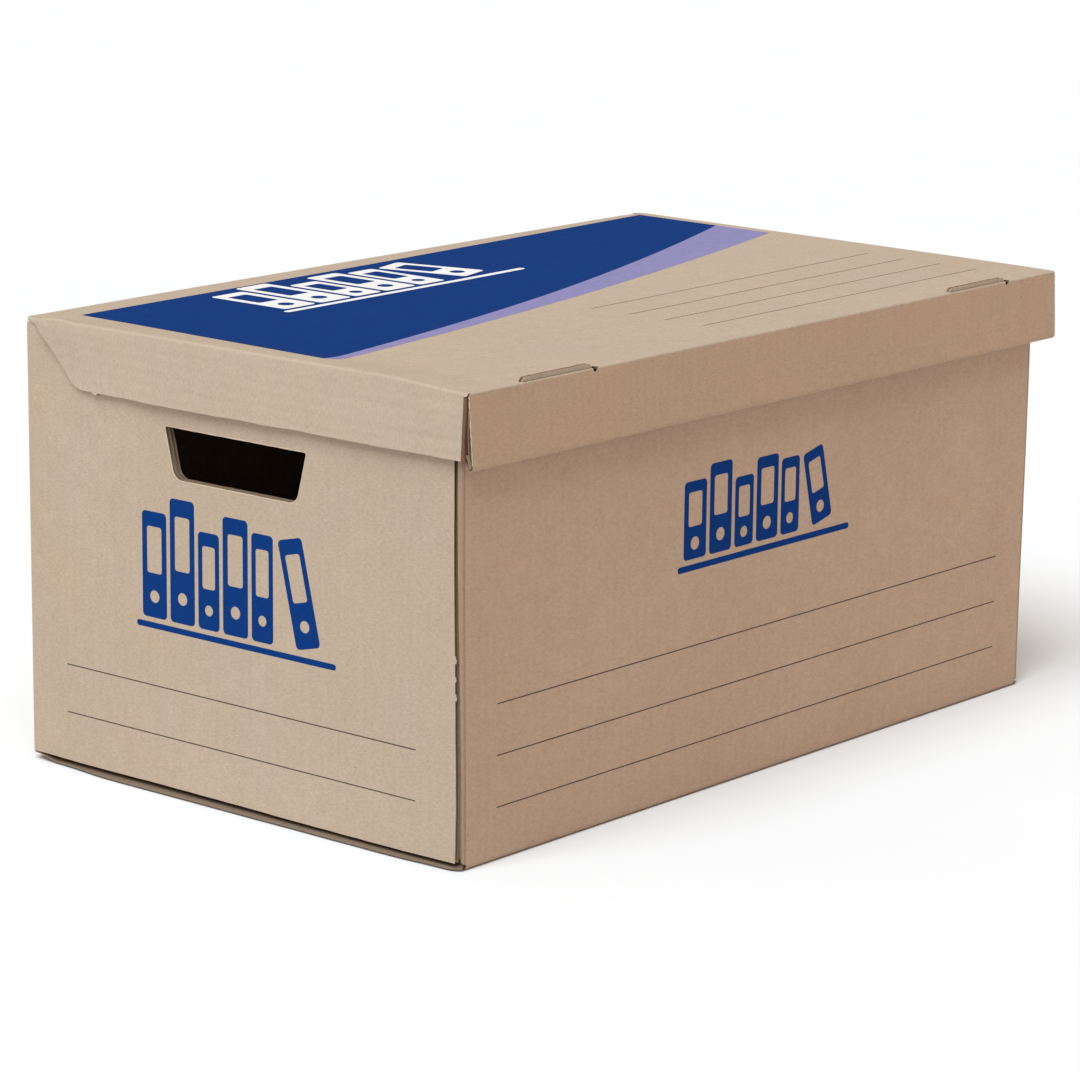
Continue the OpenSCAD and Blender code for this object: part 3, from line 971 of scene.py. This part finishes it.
def build_lid_end(side, place, mats):
    """An end flap of the lid with its corner tab, the raw end of its front, and the lock tab beside it."""
    right = side == "right"
    flap = for_side(side, end_flap(right), LID_SHIFT)
    tab = for_side(side, corner_tab(), LID_SHIFT)
    lock = lock_tab(SLOT_X if right else -SLOT_X)
    name = f"lid_{side}_"
    inside = "lid", "kraft_inside"
    add_piece(name + "end_board", flap, mats["end_flap"], [name + "end_flap"], "lid")
    # the corner tab wears painted shade, near-black brown
    add_piece(name + "corner_board", tab, mats["tab_shade"], [name + "corner_tab"], *inside)
    add_piece(name + "front_lip", open_end_lip(place, right), [mats["torn"]], (), "lid")
    add_piece(name + "lock_tab_board", lock, mats["lock"], [name + "lock_tab"], *inside)


def build_lid(mats):
    """The lid, its hinge bead and its lock tabs. Returns the place on its top face, for the print."""
    place, marks = roll_over()
    outer = front_strip(place, marks, U_FLAP, U_FOLD, (0, 0.7), 53)
    fold = front_strip(place, marks, U_FOLD, U_INNER, (0.7, 0.7), 55)
    inner = front_strip(place, marks, U_INNER, U_INNER + 22.3, (5.5, 5.5), 57, True)
    add_piece("lid_top_board", lid_top(place, marks), mats["base"], ["lid_top_panel"], "lid")
    add_piece("lid_front_outer_board", outer, mats["rolled"], ["lid_front_outer_flap"], "lid")
    add_piece("lid_front_fold_board", fold, mats["rolled"], ["lid_front_fold"], "lid")
    add_piece("lid_front_inner_board", inner, mats["front"], ["lid_front_inner_flap"], "lid")
    add_piece("lid_hinge_bead", hinge_bead(), [mats["base"][0]], ["lid_hinge_crease"])
    build_lid_end("left", place, mats)
    build_lid_end("right", place, mats)
    return place


# ---- Printing ----

LINE_W = 0.62        # width of the writing lines


def film(name, loops, place, colour, mats, grid, body="box", lift=0.03):
    """Ink as a thin closed film on a board's outer face: its outlines, and the openings in them."""
    outers, holes = loops
    points, triangles = triangulate([*outers, *holes], *grid)
    middle = points[triangles].mean(1)
    solid = np.any([region(middle, loop, holes) for loop in outers], 0)
    sheet = shell(points, triangles[solid], lambda u, v: -lift - 0.03, lambda u, v: -lift + 0.015, place)
    shape = Shape()
    shape.add(*sheet, OUTSIDE)
    add_piece(name, shape, [mats[colour]], (), body, colour + "_print")


def spine(x, y, w, h, lean=0.0):
    """An upright file from behind: its outline, and its openings for a finger hole and a label."""
    loops = [capsule(0, 0, w, h, 2.6), arc(w / 2, h * 0.2, w * 0.19, 0, 360, 20)[:-1],
             capsule(w * 0.2, h * 0.42, w * 0.8, h * 0.86, 1.6)]
    c, s = math.cos(math.radians(lean)), math.sin(math.radians(lean))
    outline, *openings = [[(x + u * c - v * s, y + u * s + v * c) for u, v in loop] for loop in loops]
    return outline, openings


def emblem(width, height, to_board):
    """A plain pictogram of a row of upright files on a shelf, centred on the origin."""
    k = width / 160
    tall = height - 7 * k
    row = [(5, 20, 0.86), (28, 20, 1.0), (51, 17, 0.78), (71, 20, 0.94), (94, 17, 0.86)]
    files = [spine(x * k, 6.6 * k, w * k, tall * h) for x, w, h in row]
    # the last file leans on the others, so its foot stands out from them
    files.append(spine(113 * k + 0.26 * 0.86 * tall, 6.9 * k, 19 * k, tall * 0.86, 13.5))
    outers, holes = [capsule(0, 0, width, 3.6 * k, 1.6 * k)], []
    for outline, openings in files:
        outers.append(outline)
        holes += openings

    def placed(loop):
        return [to_board(u - width / 2, v - height / 2) for u, v in loop]

    return [placed(loop) for loop in outers], [placed(loop) for loop in holes]


def ruled(rows):
    """Thin writing lines, each given as (u0, u1, v)."""
    return [rectangle(u0, v - LINE_W / 2, u1, v + LINE_W / 2) for u0, u1, v in rows], []


def print_ends(place, mats):
    """Each end has an emblem and two lines below it."""
    for side, way in (("left", 1), ("right", -1)):
        on_side = place if side == "left" else mirrored(place)
        files = emblem(150, 76, lambda u, v: (end_u(1) + u * way, 131 + v))
        lines = ruled([(end_u(132.7), end_u(-131), z) for z in (60.5, 32.7)])
        film(side + "_end_emblem", files, on_side, "blue", mats, (steps(10, 320, 30), ()))
        film(side + "_end_ruled_lines", lines, on_side, "dark", mats, (steps(10, 320, 20), ()))


def print_front(place, mats):
    """The front has an emblem and three lines below it."""
    files = emblem(158, 58, lambda u, v: (-2 + u, WALL_TOP - 157.5 - v))
    lines = ruled([(-231.2, 229.7, WALL_TOP - z) for z in (85.5, 57.4, 29.1)])
    film("front_emblem", files, place, "blue", mats, (steps(-90, 90, 30), ()))
    film("front_ruled_lines", lines, place, "dark", mats, (steps(-240, 240, 24), ()))


def print_lid(place, mats):
    """The lid has a blue field, a lilac band before it, an emblem on the blue and four lines."""
    def v(y):
        return HINGE_Y - y

    def blue_front(x):
        return -2.2 + 0.259 * x + 0.000229 * x * x

    def lilac_front(x):
        return -20.5 + 0.189 * x + 0.00014 * x * x

    xs, band_xs = steps(-246, 263, 12), steps(-241, 263, 12)
    # the blue stops a hair short of the lilac, so that the two films don't touch
    field = [(-235, v(143.5)), *[(x, v(blue_front(x) + 0.15)) for x in xs], (263, v(144.5))]
    band = [(x, v(lilac_front(x))) for x in band_xs] + [(x, v(blue_front(x))) for x in reversed(xs)]
    files = emblem(206, 78, lambda x, y: (-48 + x, v(103 + y)))
    lines = ruled([(-24.8, 241.6, v(y)) for y in (-52.6, -80.2, -106.3, -133.2)])
    grid = lid_grid()
    film("lid_blue_field", ([field], []), place, "blue", mats, grid, "lid")
    film("lid_lilac_band", ([band], []), place, "lilac", mats, grid, "lid")
    film("lid_emblem", files, place, "white", mats, grid, "lid", 0.08)
    film("lid_ruled_lines", lines, place, "dark", mats, grid, "lid")


# ---- Floor, lights and camera ----

def floor_material():
    n = Nodes("floor_paper")
    tone = n.ranged(n.noise(3, 2), 0.3, 0.7, 0.985, 1.0)
    return n.surface(n.scaled((0.81, 0.83, 0.855, 1), tone), 0.9, 0.1)


def make_floor():
    """A wide sheet of pale paper."""
    mesh = bpy.data.meshes.new("floor")
    mesh.from_pydata([(x, y, -0.0004) for x, y in rectangle(-14, -14, 14, 14)], [], [(0, 1, 2, 3)])
    mesh.materials.append(floor_material())
    new_object("floor", mesh)


def soft_panel(name, place, target, size, power):
    """A square lamp at place that faces target."""
    data = bpy.data.lights.new(name, "AREA")
    data.size = size
    data.energy = power
    data.color = (1.0, 0.84, 0.7)
    ob = new_object(name, data)
    ob.location = place
    ob.rotation_euler = (Vector(target) - Vector(place)).to_track_quat("-Z", "Y").to_euler()


def make_lights():
    """A warm, even surround and one large soft key from high on the left."""
    world = bpy.data.worlds.new("studio")
    bpy.context.scene.world = world
    world.use_nodes = True
    back = world.node_tree.nodes["Background"]
    back.inputs["Color"].default_value = (1.0, 0.81, 0.66, 1)
    back.inputs["Strength"].default_value = 0.52
    data = bpy.data.lights.new("key_left", "SUN")
    data.energy = 3.15
    data.angle = math.radians(42)
    data.color = (0.86, 0.95, 1.0)
    key = new_object("key_left", data)
    key.rotation_euler = Vector((0.49, 0.12, -0.83)).to_track_quat("-Z", "Y").to_euler()
    soft_panel("low_front", (0.95, -0.85, 0.10), (0.24, -0.16, 0.03), 0.5, 0.75)
    soft_panel("back_left", (-0.72, 0.42, 0.30), (-0.26, 0.14, 0.15), 0.4, 0.3)


def make_camera():
    """A long lens that looks down a little at the left front corner."""
    data = bpy.data.cameras.new("camera")
    data.sensor_width = 36
    data.lens = 138.23
    data.clip_end = 60
    az, el, roll = (math.radians(a) for a in (-49.869, 12.948, 0.600))
    back = Vector((math.sin(az) * math.cos(el), -math.cos(az) * math.cos(el), math.sin(el)))
    right = Vector((math.cos(az), math.sin(az), 0))
    up = back.cross(right)
    side = math.cos(roll) * right + math.sin(roll) * up
    up = -math.sin(roll) * right + math.cos(roll) * up
    ob = new_object("camera", data)
    ob.matrix_world = Matrix((side, up, back)).transposed().to_4x4()
    ob.location = (-1.81753, -1.52765, 0.65471)
    bpy.context.scene.camera = ob


make_camera()
make_lights()
make_floor()
MATERIALS = make_materials()
FRONT_PLACE, END_PLACE = build_body(MATERIALS)
LID_PLACE = build_lid(MATERIALS)
print_ends(END_PLACE, MATERIALS)
print_front(FRONT_PLACE, MATERIALS)
print_lid(LID_PLACE, MATERIALS)

bpy.context.scene.view_settings.view_transform = "Standard"
